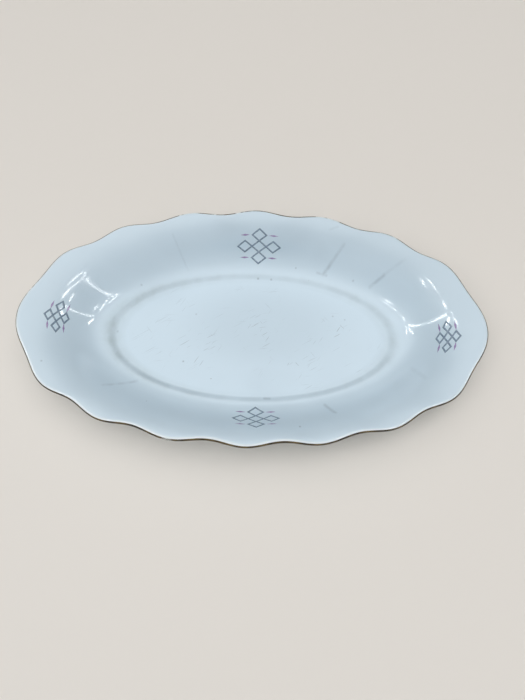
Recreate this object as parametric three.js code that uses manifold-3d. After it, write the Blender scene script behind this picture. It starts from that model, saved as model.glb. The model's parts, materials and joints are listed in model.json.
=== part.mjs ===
// An oval herring dish in porcelain: a scalloped body cast with its foot ring, the glaze over it,
// a gilded lip and four small prints on the wall. Millimetres, +Z up, standing on z = 0, long side on X.
import * as THREE from "three";
import { mergeVertices } from "three/addons/utils/BufferGeometryUtils.js";
import Module from "manifold-3d";

const wasm = await Module();
wasm.setup();

// Rim
const rimLength = 272.4; // over the two end lobes
const rimWidth = 144; // over the two side lobes
const rimSquareness = 2.09; // 2 is an ellipse, more is squarer
const lobeCount = 16;
const lobeDepth = 1.2; // from the mean outline out to a lobe, and in to the dip beside it
const lobeFade = 5; // power at which the lobes die out down the wall
const rimRise = 1.9; // long sides above the mean rim, ends below it
const lipThickness = 2.8;

// Well
const wellLength = 179;
const wellWidth = 84.6;
const wellSquareness = 2.02;
const endStepWidth = 6.2; // the soft step from the sunk well up to the wall, at the ends
const sideStepWidth = 4.3; // and along the sides
const stepDrop = 1.4;

// Wall and floor
const dishDepth = 25.9; // from the well up to the mean rim
const floorThickness = 2.8;
const wallThickness = 3.3; // at the foot, thinning to the lip
const endCoveReach = 0.36; // share of the wall's width that the cove above the well takes, at the ends
const endCoveLift = 0.05; // share of its height that the cove has gained there
const endFlareReach = 0.55; // share of the wall's width that the flared rim takes
const endFlareLift = 0.1; // share of its height left for the flare
const sideCoveReach = 0.44; // the same in the middle of the long sides
const sideCoveLift = 0.04;
const sideFlareReach = 0.38;
const sideFlareLift = 0.08;

// Foot ring
const footHeight = 3.2;
const footInset = 1.2; // outer flank inside the well's edge
const footTaper = 0.8; // each flank leans in by this much on the way down
const footEdge = 3; // width of the ground standing edge
const footFillet = 1.1;

// Coats
const glazeThickness = 0.3;
const glazeLine = 0.9; // height at which the glaze stops on both flanks of the foot
const gildingThickness = 0.1;
const printThickness = 0.1;
const printClearance = 0.02; // between a print and the glaze

// Prints
const sidePitchAlong = 8.8; // lozenge to lozenge along the rim, on the long sides
const sidePitchUp = 7.8; // and up the wall
const endPitchAlong = 6.4;
const endPitchUp = 4.6;
const printLine = 1;
const strokeLength = 6;
const strokeWidth = 1.3;
const rearPrintRise = 0.46; // place of a print's centre on the slope, from the well to the lip
const frontPrintRise = 0.38;
const endPrintRise = 0.6;
const rightPrintRound = 0.994; // place round the rim from +X, laid by hand a little off the middle
const rearPrintRound = 0.245;
const leftPrintRound = 0.495;
const frontPrintRound = 0.758;

// Facets
const lobeFacets = 6;
const wallFacets = 5;
const lipFacets = 4;
const backFacets = 3;
const lengthDivisions = 960; // for shares of the rim's length
const smallStep = 1e-4; // for slopes by small differences

const facets = lobeCount * lobeFacets;
const floorTop = footHeight + floorThickness;
const wallStart = floorTop + stepDrop;
const overallHeight = floorTop + dishDepth + rimRise + lipThickness + glazeThickness;
const lipOverhang = lipThickness / 2 + glazeThickness + gildingThickness;
const lerp = THREE.MathUtils.lerp;

// An oval in plan by its polar angle, the parameter running once round from +X.
class Oval extends THREE.Curve {
  constructor(halfLength, halfWidth, squareness) {
    super();
    this.halfLength = halfLength;
    this.halfWidth = halfWidth;
    this.squareness = squareness;
    this.arcLengthDivisions = lengthDivisions;
  }
  getPoint(turn, target = new THREE.Vector2()) {
    const angle = 2 * Math.PI * turn;
    const along = Math.abs(Math.cos(angle) / this.halfLength) ** this.squareness;
    const across = Math.abs(Math.sin(angle) / this.halfWidth) ** this.squareness;
    const radius = (along + across) ** (-1 / this.squareness);
    return target.set(radius * Math.cos(angle), radius * Math.sin(angle));
  }
  inset(distance) {
    return new Oval(this.halfLength - distance, this.halfWidth - distance, this.squareness);
  }
  between(other, share) {
    return new Oval(
      lerp(this.halfLength, other.halfLength, share),
      lerp(this.halfWidth, other.halfWidth, share),
      lerp(this.squareness, other.squareness, share),
    );
  }
}

const wellOval = new Oval(wellLength / 2, wellWidth / 2, wellSquareness);
const floorOval = new Oval(
  wellLength / 2 - endStepWidth,
  wellWidth / 2 - sideStepWidth,
  wellSquareness,
);
const rimOval = new Oval(
  rimLength / 2 - lobeDepth - lipOverhang,
  rimWidth / 2 - lobeDepth - lipOverhang,
  rimSquareness,
);

// The wall's section from the well to the lip: x is a share of its width, y of its height.
function wallSection(round) {
  const atEnd = (1 + Math.cos(4 * Math.PI * round)) / 2;
  const coveReach = lerp(sideCoveReach, endCoveReach, atEnd);
  const coveLift = lerp(sideCoveLift, endCoveLift, atEnd);
  const flareReach = lerp(sideFlareReach, endFlareReach, atEnd);
  const flareLift = lerp(sideFlareLift, endFlareLift, atEnd);
  return new THREE.CubicBezierCurve(
    new THREE.Vector2(0, 0),
    new THREE.Vector2(coveReach, coveLift),
    new THREE.Vector2(1 - flareReach, 1 - flareLift),
    new THREE.Vector2(1, 1),
  );
}

// A point of the bare body's face: way round the rim by its length, and way up the wall's section.
function facePoint(round, up) {
  const share = THREE.MathUtils.euclideanModulo(round, 1);
  const turn = rimOval.getUtoTmapping(share);
  const section = wallSection(share).getPoint(up);
  const place = wellOval.between(rimOval, section.x).getPoint(turn);
  const tangent = rimOval.getTangent(turn);
  const lobe = lobeDepth * section.x ** lobeFade * Math.cos(2 * Math.PI * lobeCount * share);
  const height = dishDepth - stepDrop - rimRise * Math.cos(4 * Math.PI * share);
  return new THREE.Vector3(
    place.x + lobe * tangent.y,
    place.y - lobe * tangent.x,
    wallStart + height * section.y,
  );
}

// The face's outward slope and its normal at a point, by small differences.
function faceFrame(round, up) {
  const high = Math.min(1, up + smallStep);
  const slope = facePoint(round, high).sub(facePoint(round, high - smallStep)).normalize();
  const around = facePoint(round + smallStep, up).sub(facePoint(round - smallStep, up));
  const normal = slope.clone().cross(around).normalize();
  return { slope, normal };
}

// The face moved into the wall by the wall's own thickness there.
function backPoint(round, up) {
  const thickness = lerp(wallThickness, lipThickness, up);
  return facePoint(round, up).addScaledVector(faceFrame(round, up).normal, -thickness);
}

// The lip is a half round from the face to the back, turned by an angle from the face's normal.
function lipPoint(round, angle) {
  const { slope, normal } = faceFrame(round, 1);
  return facePoint(round, 1)
    .addScaledVector(normal, (lipThickness / 2) * (Math.cos(angle) - 1))
    .addScaledVector(slope, (lipThickness / 2) * Math.sin(angle));
}

// A level ring of the well or the foot.
function levelPoint(oval, height) {
  return (round) => {
    const place = oval.getPoint(rimOval.getUtoTmapping(round));
    return new THREE.Vector3(place.x, place.y, height);
  };
}

// Rows of points once round the dish, named so that the coats can be cut from them.
const rows = [];
const rowNumber = {};
function addRow(name, pointAt) {
  rowNumber[name] = rows.length;
  rows.push(Array.from({ length: facets }, (_, i) => pointAt(i / facets)));
}

// Face
addRow("wellEdge", levelPoint(floorOval, floorTop));
for (let i = 0; i <= wallFacets; i++) {
  addRow("wall" + i, (round) => facePoint(round, i / wallFacets));
}
// Lip and back
for (let i = 1; i < lipFacets; i++) {
  addRow("lip" + i, (round) => lipPoint(round, (Math.PI * i) / lipFacets));
}
for (let i = backFacets; i >= 0; i--) {
  addRow("back" + i, (round) => backPoint(round, i / backFacets));
}
// Foot ring, from its outer flank to the recess under the well
const outerFlank = wellOval.inset(footInset);
const outerEdge = outerFlank.inset(footTaper);
const innerEdge = outerEdge.inset(footEdge);
const innerFlank = innerEdge.inset(footTaper);
const flankTop = footHeight - footFillet;
const lineShare = glazeLine / flankTop;
addRow("outerFlank", levelPoint(outerFlank, flankTop));
addRow("outerLine", levelPoint(outerEdge.between(outerFlank, lineShare), glazeLine));
addRow("outerEdge", levelPoint(outerEdge, 0));
addRow("innerEdge", levelPoint(innerEdge, 0));
addRow("innerLine", levelPoint(innerEdge.between(innerFlank, lineShare), glazeLine));
addRow("innerFlank", levelPoint(innerFlank, flankTop));
addRow("recess", levelPoint(innerFlank.inset(footFillet), footHeight));

// The middle of a row, which is also the middle of the flat disc that closes it.
function rowCentre(row) {
  const sum = new THREE.Vector3();
  row.forEach((point) => sum.add(point));
  return sum.divideScalar(row.length);
}

// Outward normals at every point of the rows, from their neighbours round and along the section.
const normals = rows.map((row, i) =>
  row.map((point, j) => {
    const before = i > 0 ? rows[i - 1][j] : rowCentre(row);
    const after = i < rows.length - 1 ? rows[i + 1][j] : rowCentre(row);
    const around = row[(j + 1) % facets].clone().sub(row[(j + facets - 1) % facets]);
    return after.clone().sub(before).cross(around).normalize();
  }),
);

// The body's own surface between two rows, moved outwards by a height.
function raised(first, last, height) {
  const from = rowNumber[first];
  return rows
    .slice(from, rowNumber[last] + 1)
    .map((row, i) => row.map((point, j) => point.clone().addScaledVector(normals[from + i][j], height)));
}

// Triangles of the strips between rows, facing outwards, or inwards when turned.
function sheet(band, turned = false) {
  const triangles = [];
  for (let i = 0; i + 1 < band.length; i++) {
    for (let j = 0; j < facets; j++) {
      const next = (j + 1) % facets;
      const [a, b, c, d] = [band[i][j], band[i + 1][j], band[i + 1][next], band[i][next]];
      triangles.push(turned ? [a, c, b] : [a, b, c], turned ? [a, d, c] : [a, c, d]);
    }
  }
  return triangles;
}

// Triangles of the flat disc inside a row, facing up or down.
function disc(row, facingUp) {
  const centre = rowCentre(row);
  return row.map((point, j) => {
    const next = row[(j + 1) % facets];
    return facingUp ? [centre, point, next] : [centre, next, point];
  });
}

// A closed geometry from triangles whose shared corners are equal.
function solid(triangles) {
  const geometry = new THREE.BufferGeometry().setFromPoints(triangles.flat());
  const merged = mergeVertices(geometry);
  merged.computeVertexNormals();
  return merged;
}

// A coat of even thickness over the body between two rows, lying on coats that reach up to a height.
function coatSheets(first, last, under, thickness) {
  const inner = raised(first, last, under);
  const outer = raised(first, last, under + thickness);
  return { inner, outer, faces: [...sheet(outer), ...sheet(inner, true)] };
}
const edgeAfter = ({ inner, outer }) => sheet([outer.at(-1), inner.at(-1)]);
const edgeBefore = ({ inner, outer }) => sheet([inner[0], outer[0]]);

function bodyGeometry() {
  return solid([...disc(rows[0], true), ...sheet(rows), ...disc(rows.at(-1), false)]);
}

function glazeCoatGeometry() {
  const coat = coatSheets("wellEdge", "outerLine", 0, glazeThickness);
  const well = [...disc(coat.outer[0], true), ...disc(coat.inner[0], false)];
  return solid([...coat.faces, ...well, ...edgeAfter(coat)]);
}

function baseGlazeGeometry() {
  const coat = coatSheets("innerLine", "recess", 0, glazeThickness);
  const base = [...disc(coat.outer.at(-1), false), ...disc(coat.inner.at(-1), true)];
  return solid([...coat.faces, ...base, ...edgeBefore(coat)]);
}

function bandGeometry(first, last, under, thickness) {
  const band = coatSheets(first, last, under, thickness);
  return solid([...band.faces, ...edgeBefore(band), ...edgeAfter(band)]);
}

// A geometry as a manifold-3d solid, and back.
function toManifold(geometry) {
  const bare = geometry.clone();
  bare.deleteAttribute("normal");
  bare.deleteAttribute("uv");
  const merged = mergeVertices(bare);
  return new wasm.Manifold(
    new wasm.Mesh({
      numProp: 3,
      vertProperties: merged.attributes.position.array,
      triVerts: new Uint32Array(merged.index.array),
    }),
  );
}
function fromManifold(body) {
  const mesh = body.getMesh();
  const geometry = new THREE.BufferGeometry();
  geometry.setAttribute("position", new THREE.BufferAttribute(mesh.vertProperties, 3));
  geometry.setIndex(new THREE.BufferAttribute(mesh.triVerts, 1));
  geometry.computeVertexNormals();
  return geometry;
}

// A line straight up the wall, by its length.
class WallLine extends THREE.Curve {
  constructor(round) {
    super();
    this.round = round;
  }
  getPoint(up) {
    return facePoint(this.round, up);
  }
}

// Points of a print brought to plan, from lengths to the right and up the slope of its centre,
// as it is seen from the middle of the dish.
function planMap(round, rise) {
  const line = new WallLine(round);
  const slope = line.getLength();
  return ({ x, y }) => {
    const up = line.getUtoTmapping(rise + y / slope);
    const across = facePoint(round + smallStep, up).distanceTo(facePoint(round - smallStep, up));
    const perRound = across / (2 * smallStep);
    const { x: planX, y: planY } = facePoint(round - x / perRound, up);
    return new THREE.Vector2(planX, planY);
  };
}

// The corners of a lozenge by its centre and half diagonals.
function lozenge(centre, halfWidth, halfHeight) {
  return [
    new THREE.Vector2(centre.x + halfWidth, centre.y),
    new THREE.Vector2(centre.x, centre.y + halfHeight),
    new THREE.Vector2(centre.x - halfWidth, centre.y),
    new THREE.Vector2(centre.x, centre.y - halfHeight),
  ];
}

// The film of ink where an upright prism of an outline meets the skin of the glazed wall.
const skinHeight = glazeThickness + printClearance;
const wallSkin = toManifold(bandGeometry("wall0", "wall" + wallFacets, skinHeight, printThickness));
function prism(outline, holes, toPlan) {
  const shape = new THREE.Shape(outline.map(toPlan));
  shape.holes = holes.map((hole) => new THREE.Path(hole.map(toPlan)));
  return toManifold(new THREE.ExtrudeGeometry(shape, { depth: overallHeight, bevelEnabled: false }));
}
function film(prisms) {
  const joined = prisms.reduce((sum, next) => sum.add(next));
  return fromManifold(joined.intersect(wallSkin));
}

// Five open lozenges in a cross, corner to corner.
function lozengeCross(pitch, toPlan) {
  const corner = printLine / 2 / Math.sin(Math.atan2(pitch.y, pitch.x));
  const cornerHeight = (corner * pitch.y) / pitch.x;
  const arms = [[0, 0], [1, 0], [-1, 0], [0, 1], [0, -1]];
  return arms.map(([i, j]) => {
    const centre = new THREE.Vector2(i * pitch.x, j * pitch.y);
    const outer = lozenge(centre, pitch.x / 2 + corner, pitch.y / 2 + cornerHeight);
    const inner = lozenge(centre, pitch.x / 2 - corner, pitch.y / 2 - cornerHeight);
    return prism(outer, [inner], toPlan);
  });
}

// Materials
const porcelain = new THREE.MeshStandardMaterial({ color: 0xe6e3dc, roughness: 0.7, metalness: 0 });
const glaze = new THREE.MeshStandardMaterial({ color: 0xc8d9e2, roughness: 0.12, metalness: 0 });
const gold = new THREE.MeshStandardMaterial({ color: 0x8c7a48, roughness: 0.35, metalness: 1 });
const slateInk = new THREE.MeshStandardMaterial({ color: 0x71889a, roughness: 0.25, metalness: 0 });
const mauveInk = new THREE.MeshStandardMaterial({ color: 0xb7a9c2, roughness: 0.25, metalness: 0 });

const dish = new THREE.Group();
function addPiece(name, geometry, material) {
  const piece = new THREE.Mesh(geometry, material);
  piece.name = name;
  dish.add(piece);
}

addPiece("porcelain_body", bodyGeometry(), porcelain);
addPiece("glaze_coat", glazeCoatGeometry(), glaze);
addPiece("base_glaze", baseGlazeGeometry(), glaze);
const gildingGeometry = bandGeometry("lip1", "lip" + (lipFacets - 1), glazeThickness, gildingThickness);
addPiece("rim_gilding", gildingGeometry, gold);

// One print near the middle of each long side and each end of the wall.
const sidePitch = new THREE.Vector2(sidePitchAlong, sidePitchUp);
const endPitch = new THREE.Vector2(endPitchAlong, endPitchUp);
const prints = [
  { name: "right", round: rightPrintRound, rise: endPrintRise, pitch: endPitch },
  { name: "rear", round: rearPrintRound, rise: rearPrintRise, pitch: sidePitch },
  { name: "left", round: leftPrintRound, rise: endPrintRise, pitch: endPitch },
  { name: "front", round: frontPrintRound, rise: frontPrintRise, pitch: sidePitch },
];
for (const { name, round, rise, pitch } of prints) {
  const toPlan = planMap(round, rise);
  addPiece(name + "_print_lozenges", film(lozengeCross(pitch, toPlan)), slateInk);
  // One stroke in each angle of the cross
  const angles = [[1, 1], [-1, 1], [-1, -1], [1, -1]];
  angles.forEach(([i, j], number) => {
    const centre = new THREE.Vector2(i * pitch.x, j * pitch.y);
    const stroke = prism(lozenge(centre, strokeLength / 2, strokeWidth / 2), [], toPlan);
    addPiece(name + "_print_stroke_" + (number + 1), film([stroke]), mauveInk);
  });
}

export default dish;
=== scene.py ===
# Oval herring dish in glazed porcelain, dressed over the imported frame.
# Lengths in the dictionaries are millimetres unless noted; meshes are written in metres.
import json
import math

import bpy
import numpy as np
from mathutils import Matrix, Vector

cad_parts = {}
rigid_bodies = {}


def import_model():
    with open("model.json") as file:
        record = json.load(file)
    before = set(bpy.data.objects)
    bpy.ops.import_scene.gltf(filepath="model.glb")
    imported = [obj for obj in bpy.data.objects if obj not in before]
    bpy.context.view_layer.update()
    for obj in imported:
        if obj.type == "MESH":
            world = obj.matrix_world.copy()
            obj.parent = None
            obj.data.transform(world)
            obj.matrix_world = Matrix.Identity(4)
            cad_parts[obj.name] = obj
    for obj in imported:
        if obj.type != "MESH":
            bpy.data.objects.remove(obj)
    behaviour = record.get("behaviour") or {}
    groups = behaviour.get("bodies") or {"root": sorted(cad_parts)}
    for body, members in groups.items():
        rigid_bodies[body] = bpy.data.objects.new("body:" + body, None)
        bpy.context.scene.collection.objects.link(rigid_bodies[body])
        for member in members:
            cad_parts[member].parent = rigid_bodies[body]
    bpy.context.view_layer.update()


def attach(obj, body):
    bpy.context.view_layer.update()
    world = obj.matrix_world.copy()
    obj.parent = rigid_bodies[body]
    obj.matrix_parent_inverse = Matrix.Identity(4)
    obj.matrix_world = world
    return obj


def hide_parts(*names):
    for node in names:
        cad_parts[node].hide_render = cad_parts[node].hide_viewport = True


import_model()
scene = bpy.context.scene
mm = 0.001

# Shape of the body, from the foot ring to the lip
dish = {
    "rimLength": 272.4,
    "rimWidth": 144.0,
    "rimSquareness": 2.09,       # 2 is an ellipse
    "lobeCount": 16,
    "lobeDepth": 1.4,            # mean outline out to a lobe, and in to a dip
    "lobeFade": 5,               # power at which the lobes die out down the wall
    "lobeShift": -0.05,          # crests off their even places, in half lobes
    "lobeStretch": [(2, 0.1), (4, 0.1), (6, 0.06)],    # further shifts: waves round the rim, size
    "rimRise": 1.9,              # long sides above the mean rim, ends below it
    "lipThickness": 2.8,
    "wellLength": 179.0,
    "wellWidth": 84.6,
    "wellSquareness": 2.02,
    "stepWidth": (6.2, 4.3),     # soft step from the well up to the wall, at the ends and the sides
    "stepDrop": 1.4,
    "dishDepth": 25.85,          # well to mean rim
    "floorThickness": 2.8,
    "wallThickness": 3.3,
    "endCove": (0.36, 0.05),     # S curve's handle at the cove, in shares of the wall's run, rise
    "sideCove": (0.44, 0.04),
    "endFlare": (0.55, 0.10),    # its handle at the flare, the same way, back from the lip
    "sideFlare": (0.38, 0.08),
    "footHeight": 3.2,
    "footInset": 1.2,
    "footTaper": 0.8,
    "footEdge": 3.0,
    "footFillet": 1.1,
    "edgeRound": (0.25, 12),     # rise at the ground edge's corners, and the power it comes in at
    "glazeThickness": 0.3,
    "glazeLine": 0.9,            # height where the glaze stops on the foot
    "gildingThickness": 0.1,
}
# How finely the surface is worked out
fineness = {
    "perLobe": 28,               # points round the dish in each lobe
    "well": 14,                  # rows of each part, some shared with the next
    "step": 13,
    "wall": 56,
    "lip": 15,
    "back": 40,
    "flank": 6,
    "standing": 9,
    "fillet": 7,
    "base": 7,
    "wellMiddle": 0.06,          # size of the last row about each pole
    "baseMiddle": 0.08,
    "rimAngles": 14401,          # points that measure the mean rim
    "nudge": 1e-4,               # share of the way round or up, for slopes and normals
}
around = dish["lobeCount"] * fineness["perLobe"]
floorTop = dish["footHeight"] + dish["floorThickness"]
wallStart = floorTop + dish["stepDrop"]
lipOverhang = dish["lipThickness"] / 2 + dish["glazeThickness"] + dish["gildingThickness"]

# half length, half width and squareness of the two ovals that the wall joins
wellOval = np.array([dish["wellLength"] / 2, dish["wellWidth"] / 2, dish["wellSquareness"]])
rimOval = np.array([
    dish["rimLength"] / 2 - dish["lobeDepth"] - lipOverhang,
    dish["rimWidth"] / 2 - dish["lobeDepth"] - lipOverhang,
    dish["rimSquareness"],
])


def ovalPlan(oval, angle):
    # superellipse in polar form: radius = (|cos/halfLength|^n + |sin/halfWidth|^n)^(-1/n)
    halfLength, halfWidth, power = oval[..., 0], oval[..., 1], oval[..., 2]
    total = np.abs(np.cos(angle) / halfLength) ** power + np.abs(np.sin(angle) / halfWidth) ** power
    radius = total ** (-1 / power)
    return np.stack([radius * np.cos(angle), radius * np.sin(angle)], -1)


# equal shares of the mean rim's length, turned into polar angles
fineAngles = np.linspace(0, 2 * np.pi, fineness["rimAngles"])
fineRim = ovalPlan(rimOval, fineAngles)
fineLength = np.concatenate([[0], np.cumsum(np.hypot(*np.diff(fineRim, axis=0).T))])
fineShare = fineLength / fineLength[-1]


def angleAt(share):
    return np.interp(np.mod(share, 1), fineShare, fineAngles)


def rimOutward(angle):
    # outward normal of the mean rim: the gradient of |x/a|^n + |y/b|^n
    plan = ovalPlan(rimOval, angle)
    half, power = rimOval[:2], rimOval[2]
    return unit(np.sign(plan) * np.abs(plan) ** (power - 1) / half ** power)


def unit(vectors):
    return vectors / np.linalg.norm(vectors, axis=-1, keepdims=True)


def wallSection(share, up):
    # cubic Bezier from the well (0, 0) to the lip (1, 1): a cove, a steep run and a flare,
    # whose handles go from those of the ends to those of the long sides
    atEnd = (1 + np.cos(4 * np.pi * share)) / 2
    a, b, c = 3 * (1 - up) ** 2 * up, 3 * (1 - up) * up ** 2, up ** 3
    cove = [side + atEnd * (end - side) for side, end in zip(dish["sideCove"], dish["endCove"])]
    flare = [1 - side - atEnd * (end - side)
             for side, end in zip(dish["sideFlare"], dish["endFlare"])]
    return [a * first + b * second + c for first, second in zip(cove, flare)]


def lobeWave(share):
    # cosine with a crest on each lobe, whose phase shifts by a few slower sines of the way round
    shifts = [size * np.sin(2 * np.pi * waves * share) for waves, size in dish["lobeStretch"]]
    drift = dish["lobeShift"] + sum(shifts)
    return np.cos(2 * np.pi * dish["lobeCount"] * share - np.pi * drift)


def facePoint(share, up):
    # bare wall: the oval between well and rim at the section's width, pushed out by the fading
    # lobes, at the section's height times a depth that is greater on the long sides
    share, up = np.broadcast_arrays(share, up)
    angle = angleAt(share)
    width, height = wallSection(share, up)
    oval = wellOval + width[..., None] * (rimOval - wellOval)
    lobe = dish["lobeDepth"] * width ** dish["lobeFade"] * lobeWave(share)
    plan = ovalPlan(oval, angle) + lobe[..., None] * rimOutward(angle)
    depth = dish["dishDepth"] - dish["stepDrop"] - dish["rimRise"] * np.cos(4 * np.pi * share)
    return np.concatenate([plan, (wallStart + depth * height)[..., None]], -1)


def faceFrame(share, up):
    # slope up the wall and outward normal, by small differences
    nudge = fineness["nudge"]
    high = np.minimum(1, up + nudge)
    slope = unit(facePoint(share, high) - facePoint(share, high - nudge))
    side = facePoint(share + nudge, up) - facePoint(share - nudge, up)
    return slope, unit(np.cross(slope, side))


def backPoint(share, up):
    # the wall moved in along its normal by a thickness that thins towards the lip
    thick = dish["wallThickness"] + (dish["lipThickness"] - dish["wallThickness"]) * up
    normal = faceFrame(share, up)[1]
    return facePoint(share, up) - normal * np.broadcast_to(thick, normal.shape[:-1])[..., None]


def lipPoint(share, turn):
    # half circle from the wall's end round to its back
    one = np.ones_like(turn)
    slope, normal = faceFrame(share, one)
    half = dish["lipThickness"] / 2
    lift = half * (np.cos(turn) - 1)
    reach = half * np.sin(turn)
    return facePoint(share, one) + normal * lift[..., None] + slope * reach[..., None]


def levelRow(share, inset, height, shape=(1, 1)):
    # level oval inside the well's edge by an inset, multiplied by a shape at the ends and sides
    inset, height, share = np.broadcast_arrays(inset, height, share)
    oval = wellOval - inset[..., None] * np.array([*shape, 0])
    return np.concatenate([ovalPlan(oval, angleAt(share)), height[..., None]], -1)


def towardsMiddle(edge, sizes):
    # copies of a level row, each shrunk in plan to its size
    return edge * np.concatenate([sizes, sizes, np.ones_like(sizes)], 1)[:, None, :]


def steps(count, first=0.0, last=1.0):
    return np.linspace(first, last, count)[:, None]


# Rows of the bare body from the middle of the well, over the lip, to the middle of the base
shares = (np.arange(around) / around)[None, :]
bodyRows = []
rowPart = {}


def addRows(name, rows):
    start = sum(len(r) for r in bodyRows)
    bodyRows.append(rows)
    rowPart[name] = slice(start, start + len(rows))


wellEdge = levelRow(shares, steps(1, 1), floorTop, dish["stepWidth"])
addRows("well", towardsMiddle(wellEdge, steps(fineness["well"], fineness["wellMiddle"])))
stepRun = steps(fineness["step"])[1:-1]
stepRise = dish["stepDrop"] * stepRun ** 2 * (3 - 2 * stepRun)    # level at its top and foot
addRows("step", levelRow(shares, 1 - stepRun, floorTop + stepRise, dish["stepWidth"]))
addRows("wall", facePoint(shares, steps(fineness["wall"])))
addRows("lip", lipPoint(shares, steps(fineness["lip"], 0, np.pi)[1:-1]))
addRows("back", backPoint(shares, steps(fineness["back"])[::-1]))

flankTop = dish["footHeight"] - dish["footFillet"]
flankFall = steps(fineness["flank"], 1, dish["glazeLine"] / flankTop)
edgeInset = dish["footInset"] + dish["footTaper"]
outerInset = edgeInset - dish["footTaper"] * flankFall
addRows("outerFlank", levelRow(shares, outerInset, flankTop * flankFall))
# ground edge with small rounded corners: a high even power of the way across
edgeAcross = steps(fineness["standing"])
cornerRise, cornerPower = dish["edgeRound"]
edgeHeight = cornerRise * np.abs(2 * edgeAcross - 1) ** cornerPower
addRows("standing", levelRow(shares, edgeInset + dish["footEdge"] * edgeAcross, edgeHeight))
innerRise = flankFall[::-1]
innerInset = edgeInset + dish["footEdge"] + dish["footTaper"] * innerRise
addRows("innerFlank", levelRow(shares, innerInset, flankTop * innerRise))
# quarter circle from the inner flank into the recess
filletTurn = steps(fineness["fillet"], 0, np.pi / 2)[1:]
recessInset = edgeInset + dish["footEdge"] + dish["footTaper"]
filletInset = recessInset + dish["footFillet"] * (1 - np.cos(filletTurn))
filletHeight = flankTop + dish["footFillet"] * np.sin(filletTurn)
addRows("recess", levelRow(shares, filletInset, filletHeight))
baseEdge = levelRow(shares, steps(1, recessInset + dish["footFillet"]), dish["footHeight"])
baseSizes = steps(fineness["base"], 1, fineness["baseMiddle"])[1:]
addRows("base", towardsMiddle(baseEdge, baseSizes))
bodyRows = np.concatenate(bodyRows)

# normals: cross product of the steps along the section and round the dish,
# where the middle stands in for the row past each pole
rowBefore = np.concatenate([bodyRows[:1] * [0, 0, 1], bodyRows[:-1]])
rowAfter = np.concatenate([bodyRows[1:], bodyRows[-1:] * [0, 0, 1]])
rowSide = np.roll(bodyRows, -1, axis=1) - np.roll(bodyRows, 1, axis=1)
bodyNormals = unit(np.cross(rowAfter - rowBefore, rowSide))
print("body rows:", bodyRows.shape)


def raised(part, height):
    # the body's own surface moved out by a height
    rows = bodyRows[part]
    return rows + bodyNormals[part] * np.broadcast_to(height, rows.shape[:2])[..., None]


def span(first, last):
    return slice(rowPart[first].start, rowPart[last].stop)


def stripQuads(count, width, loop):
    # quads between rows that run round; in a loop the last row meets the first
    index = np.arange(count * width).reshape(count, width)
    lower, upper = (index, np.roll(index, -1, axis=0)) if loop else (index[:-1], index[1:])
    corners = [lower, upper, np.roll(upper, -1, axis=1), np.roll(lower, -1, axis=1)]
    return np.stack(corners, -1).reshape(-1, 4)


def writePiece(name, rows, ends, values=None):
    # a mesh of rows that run round; ends is "poles" (a fan at each end) or "loop"
    count, width = rows.shape[:2]
    points = rows.reshape(-1, 3)
    faces = stripQuads(count, width, ends == "loop").tolist()
    if ends == "poles":
        points = np.concatenate([points, rows[:1].mean(1), rows[-1:].mean(1)])
        firstRow = np.arange(width)
        lastRow = firstRow + (count - 1) * width
        firstPole, lastPole = np.full(width, count * width), np.full(width, count * width + 1)
        faces += np.stack([firstPole, firstRow, np.roll(firstRow, -1)], -1).tolist()
        faces += np.stack([lastPole, np.roll(lastRow, -1), lastRow], -1).tolist()
    return writeMesh(name, points, faces, values)


def writeMesh(name, points, faces, values=None):
    mesh = bpy.data.meshes.new(name)
    mesh.from_pydata((points * mm).tolist(), [], faces)
    mesh.polygons.foreach_set("use_smooth", np.ones(len(faces), bool))
    for label, data in (values or {}).items():
        layer = mesh.attributes.new(label, "FLOAT", "POINT")
        full = np.zeros(len(points), np.float32)
        full[:data.size] = data.ravel()
        layer.data.foreach_set("value", full)
    mesh.update()
    piece = bpy.data.objects.new(name, mesh)
    scene.collection.objects.link(piece)
    return piece


# Materials
def linear(screen):
    # 8-bit screen colour to Blender's linear colour
    value = np.array(screen) / 255
    value = np.where(value <= 0.04045, value / 12.92, ((value + 0.055) / 1.055) ** 2.4)
    return (*value.tolist(), 1.0)


def newMaterial(name):
    material = bpy.data.materials.new(name)
    material.use_nodes = True
    tree = material.node_tree
    return material, tree, tree.nodes["Principled BSDF"]


def feed(tree, node, inputs):
    # inputs are values or other nodes' sockets
    for key, value in inputs.items():
        if isinstance(value, bpy.types.NodeSocket):
            tree.links.new(value, node.inputs[key])
        else:
            node.inputs[key].default_value = value


def wire(tree, kind, inputs=None, **settings):
    node = tree.nodes.new(kind)
    for key, value in settings.items():
        setattr(node, key, value)
    feed(tree, node, inputs or {})
    return node


def numberMath(tree, operation, first, second=0.0, clamp=False):
    inputs = {0: first, 1: second}
    return wire(tree, "ShaderNodeMath", inputs, operation=operation, use_clamp=clamp).outputs[0]


def vectorMath(tree, operation, first, second=(0, 0, 0)):
    node = wire(tree, "ShaderNodeVectorMath", {0: first, 1: second}, operation=operation)
    isNumber = operation in ("DOT_PRODUCT", "DISTANCE", "LENGTH")
    return node.outputs["Value" if isNumber else "Vector"]


def product(tree, first, *others):
    for other in others:
        first = numberMath(tree, "MULTIPLY", first, other)
    return first


def greatest(tree, first, *others):
    for other in others:
        first = numberMath(tree, "MAXIMUM", first, other)
    return first


def ramp(tree, value, low, high, toLow=0.0, toHigh=1.0):
    inputs = {"Value": value, "From Min": low, "From Max": high, "To Min": toLow, "To Max": toHigh}
    node = wire(tree, "ShaderNodeMapRange", inputs, interpolation_type="SMOOTHSTEP")
    return node.outputs["Result"]


def blendColor(tree, factor, first, second):
    # the colour sockets of the mix node are numbers 6 and 7, and its colour result is number 2
    inputs = {0: factor, 6: first, 7: second}
    return wire(tree, "ShaderNodeMix", inputs, data_type="RGBA").outputs[2]


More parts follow.
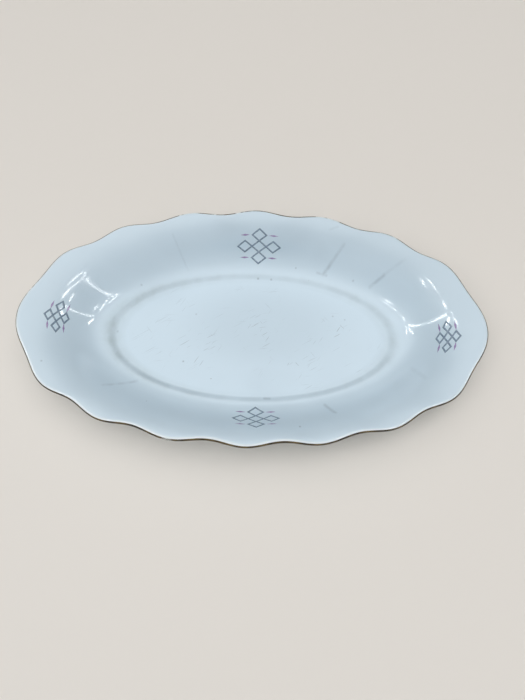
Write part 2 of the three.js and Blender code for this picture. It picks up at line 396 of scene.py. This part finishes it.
def noise(tree, coords, scale, detail=2.0, roughness=0.5):
    inputs = {"Vector": coords, "Scale": scale, "Detail": detail, "Roughness": roughness}
    return wire(tree, "ShaderNodeTexNoise", inputs).outputs["Fac"]


def patches(tree, coords, grain, levels):
    # noise of a grain (scale and detail) cut between two levels, and where given brought to a range
    return ramp(tree, noise(tree, coords, *grain), *levels)


def bump(tree, height, strength, distance, below=None):
    inputs = {"Height": height, "Strength": strength, "Distance": distance}
    if below:
        inputs["Normal"] = below
    return wire(tree, "ShaderNodeBump", inputs).outputs[0]


def attribute(tree, name):
    return wire(tree, "ShaderNodeAttribute", attribute_name=name).outputs["Fac"]


def objectCoords(tree):
    return wire(tree, "ShaderNodeTexCoord").outputs["Object"]


glazeLook = {
    "white": (203, 220, 231),
    "shade": (195, 212, 223),      # where the glaze is thin, and painted shade on the middle of the well and on the rim
    "thinPatches": ((14.0, 3.0), (0.5, 0.85)),
    "wellShadeCentre": (0.008, 0.007, 0),     # painted shade over the middle of the well: its place and reach in metres,
    "wellShadeReach": (0.065, 0.036, 1),
    "wellShadeEdge": (1.0, 0.3),              # and where it starts and is full, in reaches
    "dirtAndShade": (138, 152, 154),       # grease on the step, with painted shade of its riser
    "dirtAndShadePatches": ((120.0, 3.0), (0.3, 0.75, 0.16, 0.31)),
    "scratch": (104, 118, 126),
    "scratchStrength": 0.7,
    "scratchEdge": 0.05,
    "scratches": [                 # sets of knife scratches: angle, length, width and noise level
        (32, 17, 0.7, 0.68),
        (-48, 13, 0.65, 0.72),
        (8, 22, 0.65, 0.71),
        (58, 14, 0.65, 0.7),
    ],
    "wornPatches": ((40.0, 2.0), (0.5, 0.75, 0.0, 0.5)),
    "wornSpots": [                 # knife wear in the well: centre and reach
        ((5, 4), 22),
        ((-31, -8), 20),
        ((50, 4), 18),
        ((26, -16), 12),
    ],
    "rub": (136, 152, 163),
    "rubPatches": ((220.0, 3.0), (0.3, 0.65, 0.4, 1.0)),
    "marks": [                     # old grey rubs: start and end in plan, half width, strength
        ((43.8, 41.9), (48.5, 47.0), 1.8, 0.4),
        ((47.5, 46.0), (54.6, 53.7), 1.6, 0.24),
        ((40.0, 42.8), (45.8, 41.1), 1.3, 0.3),
        ((73.1, 33.3), (80.0, 37.6), 1.7, 0.36),
        ((79.0, 37.0), (90.9, 43.5), 1.5, 0.14),
        ((-83.4, -37.1), (-67.5, -31.1), 1.6, 0.26),
        ((44.1, -42.9), (48.9, -48.9), 1.9, 0.36),
        ((8.6, -39.2), (11.8, -39.2), 1.3, 0.4),
        ((-50.1, 56.5), (-42.3, 42.4), 1.1, 0.13),
        ((45.5, 61.1), (50.3, 62.6), 1.2, 0.16),
        ((95.3, -20.2), (99.8, -28.4), 2.2, 0.13),
    ],
    "spots": [                     # dark pin marks: place in plan, radius, strength
        ((-41.3, -17.5), 0.9, 0.7),
        ((28.4, -58.9), 0.9, 0.7),
        ((2.5, 39.0), 1.1, 0.7),
        ((10.9, 38.6), 1.1, 0.6),
        ((-117.1, -26.4), 0.9, 0.5),
        ((-70.9, 31.2), 1.1, 0.4),
        ((26.4, 45.6), 0.8, 0.55),
        ((-35.5, 13.5), 0.8, 0.5),
        ((57.5, 12.5), 0.8, 0.45),
        ((50.0, 14.6), 0.9, 0.45),
        ((-83.3, 0.6), 1.2, 0.4),
        ((62.6, 37.4), 1.0, 0.4),
    ],
    # painted highlight along the lip
    "paintedLipHighlight": (234, 239, 240),
    "speck": (96, 98, 96),
    "speckScale": 85.0,
    "speckChoice": (0.86, 0.88),         # levels above which a cell holds a speck
    "speckSize": (0.035, 0.015),         # in cells, at its edge and where it is full
    "speckStrength": 0.55,
    "roughness": 0.1,
    "wornRoughness": 0.18,
    "wornDulling": 0.5,
    "waveGrain": (38.0, 2.0),
    "waveBump": (0.025, 0.001),          # strength, and distance in metres
    "scratchBump": (0.08, -0.0002),
}


def streaks(tree, coords, angle, along, across, level):
    # noise stretched along one direction and cut high: short fine scratches
    stretch = {"Vector": coords, "Rotation": (0, 0, math.radians(angle)),
               "Scale": (along * mm, across * mm, 1)}
    turned = wire(tree, "ShaderNodeMapping", stretch, vector_type="TEXTURE").outputs[0]
    return patches(tree, turned, (1.0, 1.0), (level, level + glazeLook["scratchEdge"]))


def rubMask(tree, plan, start, end, half):
    # distance in plan to a line from start to end, softened at its edge
    a, b = Vector((*start, 0)) * mm, Vector((*end, 0)) * mm
    run = b - a
    fromStart = vectorMath(tree, "SUBTRACT", plan, a)
    dot = vectorMath(tree, "DOT_PRODUCT", fromStart, run)
    share = numberMath(tree, "DIVIDE", dot, run.length_squared, clamp=True)
    scaled = wire(tree, "ShaderNodeVectorMath", {0: run, "Scale": share}, operation="SCALE")
    return ramp(tree, vectorMath(tree, "DISTANCE", fromStart, scaled.outputs[0]), half * mm, 0)


def spotMask(tree, plan, place, radius):
    # distance in plan to a point, softened at its edge
    return ramp(tree, vectorMath(tree, "DISTANCE", plan, Vector((*place, 0)) * mm), radius * mm, 0)


def makeGlaze(name):
    look = glazeLook
    material, tree, shader = newMaterial(name)
    coords = objectCoords(tree)
    plan = vectorMath(tree, "MULTIPLY", coords, (1, 1, 0))
    well = attribute(tree, "wellFloor")
    # slow patches of thin glaze, with painted shade over the middle of the well and on the far
    # right of the rim
    fromWellShade = vectorMath(tree, "SUBTRACT", plan, look["wellShadeCentre"])
    away = vectorMath(tree, "LENGTH", vectorMath(tree, "DIVIDE", fromWellShade, look["wellShadeReach"]))
    thin = greatest(tree, patches(tree, coords, *look["thinPatches"]),
                    ramp(tree, away, *look["wellShadeEdge"]), attribute(tree, "paintedRimShade"))
    color = blendColor(tree, thin, linear(look["white"]), linear(look["shade"]))
    # grease on the step with painted shade of its riser, broken up by noise
    grimeAndShade = product(tree, attribute(tree, "stepDirtAndShade"), patches(tree, coords, *look["dirtAndShadePatches"]))
    color = blendColor(tree, grimeAndShade, color, linear(look["dirtAndShade"]))
    # knife scratches and wear in the well
    wornSpots = [spotMask(tree, plan, *spot) for spot in look["wornSpots"]]
    worn = greatest(tree, patches(tree, coords, *look["wornPatches"]), *wornSpots)
    cuts = greatest(tree, *[streaks(tree, plan, *scratch) for scratch in look["scratches"]])
    cuts = product(tree, cuts, worn, well)
    scratched = product(tree, cuts, look["scratchStrength"])
    color = blendColor(tree, scratched, color, linear(look["scratch"]))
    # rubs and pin marks on the face
    broken = patches(tree, coords, *look["rubPatches"])
    rubs = [product(tree, rubMask(tree, plan, start, end, half), strength, broken)
            for start, end, half, strength in look["marks"]]
    rubs += [product(tree, spotMask(tree, plan, place, radius), strength)
             for place, radius, strength in look["spots"]]
    rubbed = product(tree, greatest(tree, *rubs), attribute(tree, "faceSide"))
    color = blendColor(tree, rubbed, color, linear(look["rub"]))
    # painted highlight along the lip beside the gilding
    color = blendColor(tree, attribute(tree, "paintedLipHighlight"), color, linear(look["paintedLipHighlight"]))
    # iron specks in the body showing through the glaze
    cells = wire(tree, "ShaderNodeTexVoronoi", {"Vector": coords, "Scale": look["speckScale"]})
    draw = wire(tree, "ShaderNodeSeparateColor", {"Color": cells.outputs["Color"]}).outputs[0]
    specks = product(tree, ramp(tree, cells.outputs["Distance"], *look["speckSize"]),
                     ramp(tree, draw, *look["speckChoice"]), look["speckStrength"])
    color = blendColor(tree, specks, color, linear(look["speck"]))
    # gloss, duller where knives have worn it
    dull = greatest(tree, product(tree, worn, well, look["wornDulling"]), cuts)
    rough = ramp(tree, dull, 0.0, 1.0, look["roughness"], look["wornRoughness"])
    # faint waviness of a dipped glaze, and the scratches cut into it
    wave = bump(tree, noise(tree, coords, *look["waveGrain"]), *look["waveBump"])
    nick = bump(tree, cuts, *look["scratchBump"], below=wave)
    feed(tree, shader, {"Base Color": color, "Roughness": rough, "Normal": nick})
    return material


bareLook = {
    "color": (226, 220, 208),
    "stain": (196, 186, 170),
    "stainPatches": ((90.0, 4.0), (0.4, 0.7)),
    "roughness": 0.75,
    "grain": (2600.0, 3.0),
    "grainBump": (0.25, 0.0002),
}


def makeBarePorcelain(name):
    look = bareLook
    material, tree, shader = newMaterial(name)
    coords = objectCoords(tree)
    stain = patches(tree, coords, *look["stainPatches"])
    feed(tree, shader, {
        "Base Color": blendColor(tree, stain, linear(look["color"]), linear(look["stain"])),
        "Roughness": look["roughness"],
        "Normal": bump(tree, noise(tree, coords, *look["grain"]), *look["grainBump"]),
    })
    return material


gildingLook = {
    # gold and tarnish kept dark, in part as painted shade under the lip
    "gold": (102, 87, 56),
    "tarnish": (50, 44, 34),
    "tarnishPatches": ((150.0, 3.0), (0.35, 0.65)),
    # glaze where the gold is rubbed through, lightened as painted highlight like the lip
    "under": (228, 231, 230),
    "wearGrain": (75.0, 4.0, 0.65),      # scale, detail and roughness of the noise
    "wearLevels": (0.64, 0.52),          # where the gold has gone and where all of it is kept
    "metallic": 0.7,
    "roughness": 0.34,
}


def makeGilding(name):
    # painted gold, dark in part as painted shade under the lip, tarnished in patches and rubbed
    # through on the lobes to glaze lightened as painted highlight
    look = gildingLook
    material, tree, shader = newMaterial(name)
    coords = objectCoords(tree)
    tarnish = patches(tree, coords, *look["tarnishPatches"])
    gold = blendColor(tree, tarnish, linear(look["gold"]), linear(look["tarnish"]))
    wornNoise = noise(tree, coords, *look["wearGrain"])
    rub = numberMath(tree, "ADD", wornNoise, attribute(tree, "wearAndShade"))
    kept = ramp(tree, rub, *look["wearLevels"])
    feed(tree, shader, {
        "Base Color": blendColor(tree, kept, linear(look["under"]), gold),
        "Metallic": product(tree, kept, look["metallic"]),
        "Roughness": ramp(tree, kept, 0, 1, glazeLook["roughness"], look["roughness"]),
    })
    return material


inkLook = {
    "slate": {"color": (115, 134, 152), "thin": (146, 163, 178)},
    "mauve": {"color": (144, 122, 168), "thin": (170, 158, 192)},
    "thinPatches": ((650.0, 3.0), (0.38, 0.72)),
    "roughness": (0.14, 0.24),           # full and thin
}


def makeInk(name, tone):
    # fired print: a slightly patchy film, thin where it is rubbed
    look = inkLook[tone]
    material, tree, shader = newMaterial(name)
    thin = patches(tree, objectCoords(tree), *inkLook["thinPatches"])
    feed(tree, shader, {
        "Base Color": blendColor(tree, thin, linear(look["color"]), linear(look["thin"])),
        "Roughness": ramp(tree, thin, 0, 1, *inkLook["roughness"]),
    })
    return material


def dress(piece, material, slot, *nodes):
    piece.data.materials.append(material)
    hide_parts(*nodes)
    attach(piece, "root")


# Bare body: all the rows, seen only on the ground standing edge
body = writePiece("porcelain_body_fine", bodyRows, "poles")
dress(body, makeBarePorcelain("bare porcelain"), "porcelain", "porcelain_body")
print("body:", len(body.data.polygons), "faces")

# Glaze from the well over the lip to its line on the foot
glazeCoat = {
    "bedded": 0.01,                # unseen side above the bare body
    "hiddenStep": 4,               # of its rows, each fourth is kept
    "featherStart": 0.15,          # rows past the glaze's end where it would have no thickness
    "featherRows": 4,              # rows from there to its full thickness
    # grease with painted shade along the step's riser:
    "dirtAndShadeMiddle": (2.3, 0.6),      # out from the step's foot: on the sides, and added at the ends
    "dirtAndShadeInward": (2.0, 0.9),      # reach towards the well, given the same way
    "dirtAndShadeOutward": (2.0, 1.1),     # and towards the wall
    "dirtAndShadeStrength": (0.5, 0.5),
    "dirtAndShadeLean": 0.5,               # more of the grease and painted shade at the left end than at the right
    "lipHighlightBand": (28, 22),           # turn round the lip in degrees and spread of the painted highlight band
    "lipHighlightStrength": (0.48, 0.32),   # mean of the band's strength round the dish, and its swing
    "lipHighlightLeast": 0.16,              # way round where it is least
    "rimShadeCentre": 0.09,            # painted shade on the rim: way round and spread,
    "rimShadeReach": 0.1,
    "rimShadeUp": (0.55, 0.775),       # and way up the wall where it starts and is full
}


def feathered(count):
    # share of the full thickness in each row, from the glaze's end
    fromEnd = np.arange(count) + glazeCoat["featherStart"]
    return np.minimum(1, fromEnd / glazeCoat["featherRows"])[:, None]


glazePart = span("well", "outerFlank")
glazeRows = glazePart.stop - glazePart.start
outer = raised(glazePart, dish["glazeThickness"] * feathered(glazeRows)[::-1])
hidden = np.unique(np.append(np.arange(0, glazeRows, glazeCoat["hiddenStep"]), glazeRows - 1))
inner = raised(glazePart, glazeCoat["bedded"])[hidden[::-1]]
partRow = np.arange(glazeRows)[:, None] * np.ones((1, around))
wallRows, lipRows, stepRows = rowPart["wall"], rowPart["lip"], rowPart["step"]
faceSide = (partRow < lipRows.stop).astype(float)
wellFloor = (partRow < rowPart["well"].stop).astype(float)

# grease and painted shade on the step: a bell curve of the distance in plan from the step's foot,
# widest and darkest at the ends
fromFoot = (bodyRows[glazePart] - bodyRows[stepRows.start - 1])[..., :2]
toFoot = np.sign(partRow - stepRows.start + 1) * np.linalg.norm(fromFoot, axis=-1)
endDirtAndShade = 1 + np.cos(4 * np.pi * shares) - glazeCoat["dirtAndShadeLean"] * np.cos(2 * np.pi * shares)
dirtAndShadeMiddle, dirtAndShadeInward, dirtAndShadeOutward, dirtAndShadeStrength = [
    glazeCoat[key][0] + glazeCoat[key][1] * endDirtAndShade
    for key in ("dirtAndShadeMiddle", "dirtAndShadeInward", "dirtAndShadeOutward", "dirtAndShadeStrength")]
dirtAndShadeReach = np.where(toFoot < dirtAndShadeMiddle, dirtAndShadeInward, dirtAndShadeOutward)
stepDirtAndShade = np.exp(-((toFoot - dirtAndShadeMiddle) / dirtAndShadeReach) ** 2) * dirtAndShadeStrength
stepDirtAndShade[lipRows.start:] = 0

# painted lip highlight: a bell curve of the turn round the lip from the wall's end, strongest on
# the near left
lipTurn = 180 * (partRow - wallRows.stop + 1) / (fineness["lip"] - 1)
bandTurn, bandSpread = glazeCoat["lipHighlightBand"]
lipMean, lipSwing = glazeCoat["lipHighlightStrength"]
lipHighlightStrength = lipMean - lipSwing * np.cos(2 * np.pi * (shares - glazeCoat["lipHighlightLeast"]))
paintedLipHighlight = np.exp(-((lipTurn - bandTurn) / bandSpread) ** 2) * lipHighlightStrength
paintedLipHighlight[:wallRows.stop - 1] = 0

# painted shade on the rim, most on the right of the far side
wallUp = np.clip((partRow - wallRows.start) / (wallRows.stop - wallRows.start), 0, 1)
rimShadeStart, rimShadeFull = glazeCoat["rimShadeUp"]
rimShadeUp = np.clip((wallUp - rimShadeStart) / (rimShadeFull - rimShadeStart), 0, 1)
fromRimShade = np.mod(shares - glazeCoat["rimShadeCentre"] + 0.5, 1) - 0.5
paintedRimShade = rimShadeUp * np.exp(-(fromRimShade / glazeCoat["rimShadeReach"]) ** 2)

glaze = writePiece("glaze_coat_fine", np.concatenate([outer, inner]), "poles", {
    "faceSide": faceSide,
    "wellFloor": wellFloor,
    "stepDirtAndShade": stepDirtAndShade,
    "paintedLipHighlight": paintedLipHighlight,
    "paintedRimShade": paintedRimShade,
})
glazeMaterial = makeGlaze("cool white glaze")
dress(glaze, glazeMaterial, "glaze", "glaze_coat")
print("glaze:", len(glaze.data.polygons), "faces")

# Glaze in the recess of the base
basePart = span("innerFlank", "base")
baseOuter = raised(basePart, dish["glazeThickness"] * feathered(basePart.stop - basePart.start))
baseInner = raised(basePart, glazeCoat["bedded"])[::-1]
baseGlaze = writePiece("base_glaze_fine", np.concatenate([baseInner, baseOuter]), "poles")
dress(baseGlaze, glazeMaterial, "glaze", "base_glaze")
print("base glaze:", len(baseGlaze.data.polygons), "faces")

# Gilded line on the outer half of the lip
gilding = {
    "first": 44,                   # turns round the lip in degrees where it starts and ends
    "last": 146,
    "farReach": 14,                # further in on the far side
    "rows": 9,
    "thickness": 0.05,
    "bedded": 0.05,                # its unseen side, inside the glaze
    "wearMean": -0.06,
    "wearOnLobes": 0.06,
    "wearAndShadeRound": 0.1,
    "bestKeptShadedSide": 0.77,              # way round where it is worn least: the near side, where its dark line is partly painted shade
}
gildFirst = gilding["first"] - gilding["farReach"] * (1 + np.sin(2 * np.pi * shares)) / 2
gildTurn = np.radians(gildFirst + (gilding["last"] - gildFirst) * steps(gilding["rows"]))


def lipRaised(turn, height):
    # between the rows of the lip, from the wall's end to its back, moved out like the glaze
    rows = raised(slice(wallRows.stop - 1, rowPart["back"].start + 1), height)
    place = turn / np.pi * (len(rows) - 1)
    lower, column = place.astype(int), np.arange(around)
    part = (place - lower)[..., None]
    return rows[lower, column] * (1 - part) + rows[lower + 1, column] * part


gildOuter = lipRaised(gildTurn, dish["glazeThickness"] + gilding["thickness"])
gildInner = lipRaised(gildTurn[::-1], dish["glazeThickness"] - gilding["bedded"])
gildRows = np.concatenate([gildOuter, gildInner])
# worn most on the lobes, and along the far side; kept most on the near side, where its dark line is
# partly painted shade under the lip
roundWearAndShade = gilding["wearAndShadeRound"] * np.cos(2 * np.pi * (shares - gilding["bestKeptShadedSide"]))
wearAndShade = gilding["wearOnLobes"] * lobeWave(shares) - roundWearAndShade + gilding["wearMean"]
gildWear = {"wearAndShade": wearAndShade * np.ones((len(gildRows), 1))}
gild = writePiece("rim_gilding_fine", gildRows, "loop", gildWear)
dress(gild, makeGilding("worn gold line"), "gilding", "rim_gilding")
print("gilding:", len(gild.data.polygons), "faces")

# Prints: five open lozenges in a cross with a stroke in each angle
prints = {
    "places": {"right": 0.994, "rear": 0.245, "left": 0.495, "front": 0.758},   # way round from +X
    "rises": {"right": 0.6, "rear": 0.46, "left": 0.6, "front": 0.38},          # way up the slope
    "sidePitch": (8.8, 7.8),       # lozenge to lozenge, along the rim and up the slope
    "endPitch": (6.4, 4.6),
    "lozenges": [(0, 0), (1, 0), (-1, 0), (0, 1), (0, -1)],    # centres in pitches
    "strokes": [(1, 1), (-1, 1), (-1, -1), (1, -1)],
    "line": 1.0,
    "strokeSize": (6.0, 1.3),
    "strokeLoops": (0.05, 0.35, 0.7, 1.0),    # sizes of the loops that fill a stroke
    "film": 0.02,
    "bedded": 0.03,                # into the glaze
    "overlap": 0.004,              # each lozenge above the one before, where their corners meet
    "cut": 14,                     # points along each side of a lozenge
    "slopePoints": 801,            # points that measure the slope
}


def printMap(place, rise):
    # lengths right and up from a print's centre, turned into ways round and up the wall
    ups = np.linspace(0, 1, prints["slopePoints"])
    line = facePoint(np.full_like(ups, place), ups)
    length = np.concatenate([[0], np.cumsum(np.linalg.norm(np.diff(line, axis=0), axis=1))])
    nudge = fineness["nudge"]
    side = facePoint(place + nudge, ups) - facePoint(place - nudge, ups)
    perShare = np.linalg.norm(side, axis=1) / (2 * nudge)

    def toWall(right, high):
        up = np.interp(rise * length[-1] + high, length, ups)
        return place - right / np.interp(up, ups, perShare), up
    return toWall


def lozengeLoop(centre, half):
    # closed lozenge round a centre, its four sides cut into equal steps
    corners = np.array(centre) + np.array([[1, 0], [0, 1], [-1, 0], [0, -1], [1, 0]]) * half
    along = np.arange(4 * prints["cut"]) / prints["cut"]
    return np.stack([np.interp(along, np.arange(5), corners[:, axis]) for axis in range(2)], 1)


def onGlaze(toWall, loop, height):
    # points of a print laid on the glaze and lifted by a height
    share, up = toWall(loop[:, 0], loop[:, 1])
    normal = faceFrame(share, up)[1]
    return facePoint(share, up) + normal * (dish["glazeThickness"] + height)


def lozengeRing(toWall, centre, pitch, lift):
    # a flat strip carried round the lozenge: outer foot, outer top, inner top, inner foot
    half = np.array(pitch) / 2
    grow = prints["line"] / 2 * math.hypot(*half) / (half[0] * half[1])
    wide, slim = [lozengeLoop(centre, half * (1 + sign * grow)) for sign in (1, -1)]
    low, top = -prints["bedded"], prints["film"] + lift
    section = [(wide, low), (wide, top), (slim, top), (slim, low)]
    return np.stack([onGlaze(toWall, loop, height) for loop, height in section], 0)


def strokeFilm(toWall, centre):
    # a filled lozenge, shrunk in steps to its middle: its foot going out, then its top coming in
    half = np.array(prints["strokeSize"]) / 2
    loops = [lozengeLoop(centre, half * share) for share in prints["strokeLoops"]]
    low = [onGlaze(toWall, loop, -prints["bedded"]) for loop in loops]
    top = [onGlaze(toWall, loop, prints["film"]) for loop in loops]
    return np.stack(low + top[::-1], 0)


def writePrint(name, grids, loop):
    # several strips as one mesh, faces outward; strips that aren't loops get a lid at both ends
    points, faces, start = [], [], 0
    for grid in grids:
        count, width = grid.shape[:2]
        faces += (stripQuads(count, width, loop)[:, [0, 3, 2, 1]] + start).tolist()
        if not loop:
            lid = np.arange(start, start + width)
            faces += [lid[::-1].tolist(), (lid + (count - 1) * width).tolist()]
        points.append(grid.reshape(-1, 3))
        start += count * width
    return writeMesh(name, np.concatenate(points), faces)


slateInk, mauveInk = makeInk("slate print", "slate"), makeInk("mauve print", "mauve")
for place, share in prints["places"].items():
    pitch = prints["sidePitch" if place in ("rear", "front") else "endPitch"]
    toWall = printMap(share, prints["rises"][place])
    rings = [lozengeRing(toWall, (i * pitch[0], j * pitch[1]), pitch, prints["overlap"] * number)
             for number, (i, j) in enumerate(prints["lozenges"])]
    slate = writePrint(place + "_print_slate", rings, True)
    dress(slate, slateInk, "slate_ink", place + "_print_lozenges")
    films = [strokeFilm(toWall, (i * pitch[0], j * pitch[1])) for i, j in prints["strokes"]]
    mauve = writePrint(place + "_print_mauve", films, False)
    strokeNodes = [f"{place}_print_stroke_{number}" for number in (1, 2, 3, 4)]
    dress(mauve, mauveInk, "mauve_ink", *strokeNodes)
print("prints:", len(prints["places"]))

# Floor: half its side in metres
floor = {"half": 14.0, "drop": 0.1, "color": (222, 217, 210), "roughness": 0.6}
floorCorners = np.array([[-1, -1, 0], [1, -1, 0], [1, 1, 0], [-1, 1, 0]]) * floor["half"] / mm
ground = writeMesh("floor", floorCorners - [0, 0, floor["drop"]], [[0, 1, 2, 3]])
floorMaterial, floorTree, floorShader = newMaterial("pale floor")
floorLook = {"Base Color": linear(floor["color"]), "Roughness": floor["roughness"]}
feed(floorTree, floorShader, floorLook)
ground.data.materials.append(floorMaterial)
print("floor:", 2 * floor["half"], "m wide")

# Camera of the photograph: place and aim, and roll in degrees
photo = {
    "place": (7.91, -108.41, 312.77),
    "aim": (6.77, -17.25, 32.2),
    "roll": 0.933,
    "focalPixels": 526.0,
    "longSide": 700,
    "sensor": 36.0,
    "nearClip": 0.01,              # metres
}
camera = bpy.data.objects.new("photoCamera", bpy.data.cameras.new("photoCamera"))
camera.data.sensor_width = photo["sensor"]
camera.data.lens = photo["focalPixels"] / photo["longSide"] * photo["sensor"]
camera.data.clip_start = photo["nearClip"]
ahead = (Vector(photo["aim"]) - Vector(photo["place"])).normalized()
right = ahead.cross(Vector((0, 0, 1))).normalized()
upright = right.cross(ahead)
roll = math.radians(photo["roll"])
rolledRight = right * math.cos(roll) + upright * math.sin(roll)
rolledUp = upright * math.cos(roll) - right * math.sin(roll)
turnMatrix = Matrix((rolledRight, rolledUp, -ahead)).transposed().to_4x4()
camera.matrix_world = Matrix.Translation(Vector(photo["place"]) * mm) @ turnMatrix
scene.collection.objects.link(camera)
scene.camera = camera
print("camera: lens", round(camera.data.lens, 2), "mm")

# Light, in metres: a bright ceiling, a soft panel that isn't mirrored, a window that mostly is,
# and bare tubes that only the gloss shows
light = {
    "room": 0.1,
    "backdrop": 0.85,              # what the camera itself sees past the floor
    # cosines from the aim where the glow starts and is full
    "ceiling": {"glow": 1.25, "aim": (-0.1, 0.02, 0.98), "edge": (0.55, 0.95)},
    "window": {"glow": 1.0, "aim": (0.1, -0.94, 0.32), "edge": (0.66, 0.95)},
    "windowSpill": 0.22,           # share of the window's glow that lights the dish
    "panel": {"place": (-0.2, -0.1, 1.7), "size": (0.7, 3.0), "watts": 12},
    "tubeHeight": 2.0,
    "tubeGlow": 24.0,
    "tubeHalo": (0.08, 5.0),       # size added to the tube's, and glow of the soft band about it
    "tubes": [                     # start, end and width in plan
        ((1.54, -1.2), (1.49, -0.8), 0.04),
        ((1.49, -0.8), (1.42, -0.25), 0.09),
        ((0.96, -0.97), (1.06, -0.6), 0.065),
        ((1.1, -1.2), (1.5, -1.3), 0.05),
        ((1.78, 0.2), (2.33, 0.64), 0.13),
        ((2.1, -0.9), (2.2, -0.45), 0.1),
        ((1.75, -1.6), (3.3, -2.8), 0.045),
        ((1.9, -0.02), (3.5, 0.02), 0.05),
        ((1.68, -1.62), (1.86, -1.62), 0.12),
        ((-1.56, 0.06), (-3.8, 0.15), 0.07),
        ((-0.72, -0.7), (-0.88, -0.65), 0.06),
        ((-0.94, -0.62), (-1.06, -0.58), 0.05),
        ((-1.04, -1.15), (-1.2, -1.1), 0.08),
        ((-1.25, -1.2), (-1.4, -1.15), 0.08),
        ((-1.35, -0.34), (-1.3, -0.18), 0.15),
        ((-1.13, 0.1), (-1.1, 0.28), 0.02),
        ((-1.08, 0.34), (-0.92, 0.58), 0.05),
        ((-1.45, 0.25), (-2.0, 0.63), 0.1),
    ],
}


def areaLamp(name, place, size, watts):
    # a rectangle of light aimed at the dish
    lamp = bpy.data.lights.new(name, "AREA")
    lamp.shape = "RECTANGLE"
    lamp.size, lamp.size_y = size
    lamp.energy = watts
    holder = bpy.data.objects.new(name, lamp)
    holder.location = place
    holder.rotation_euler = (-Vector(place)).to_track_quat("-Z", "Y").to_euler()
    scene.collection.objects.link(holder)
    return holder


panel = light["panel"]
areaLamp("panel", panel["place"], panel["size"], panel["watts"]).visible_glossy = False
for start, end, width in light["tubes"]:
    # level on the ceiling, seen in the gloss and adding no light of its own
    start, end = Vector((*start, light["tubeHeight"])), Vector((*end, light["tubeHeight"]))
    for wider, brightness in ((0, light["tubeGlow"]), light["tubeHalo"]):
        size = ((end - start).length + wider, width + wider)
        tube = areaLamp("tube", (start + end) / 2, size, brightness * math.pi * size[0] * size[1])
        tube.rotation_euler = (0, 0, math.atan2(end.y - start.y, end.x - start.x))
        tube.visible_diffuse = False

world = bpy.data.worlds.new("soft room")
world.use_nodes = True
roomTree = world.node_tree
direction = wire(roomTree, "ShaderNodeTexCoord").outputs["Generated"]
paths = wire(roomTree, "ShaderNodeLightPath")


def glowToward(source):
    # brightness that grows with the cosine between a direction and the source's aim
    toward = vectorMath(roomTree, "DOT_PRODUCT", direction, Vector(source["aim"]).normalized())
    return ramp(roomTree, toward, *source["edge"], 0, source["glow"])


mirrored = greatest(roomTree, paths.outputs["Is Glossy Ray"], light["windowSpill"])
windowGlow = product(roomTree, glowToward(light["window"]), mirrored)
ceilingGlow = numberMath(roomTree, "ADD", glowToward(light["ceiling"]), light["room"])
glow = numberMath(roomTree, "ADD", ceilingGlow, windowGlow)
# number sockets of the mix node: 0 the factor, 2 and 3 the values
seen = {0: paths.outputs["Is Camera Ray"], 2: glow, 3: light["backdrop"]}
strength = wire(roomTree, "ShaderNodeMix", seen, data_type="FLOAT").outputs[0]
feed(roomTree, roomTree.nodes["Background"], {"Color": (1, 1, 1, 1), "Strength": strength})
scene.world = world
scene.view_settings.view_transform = "Standard"
print("light:", len(light["tubes"]), "tubes")
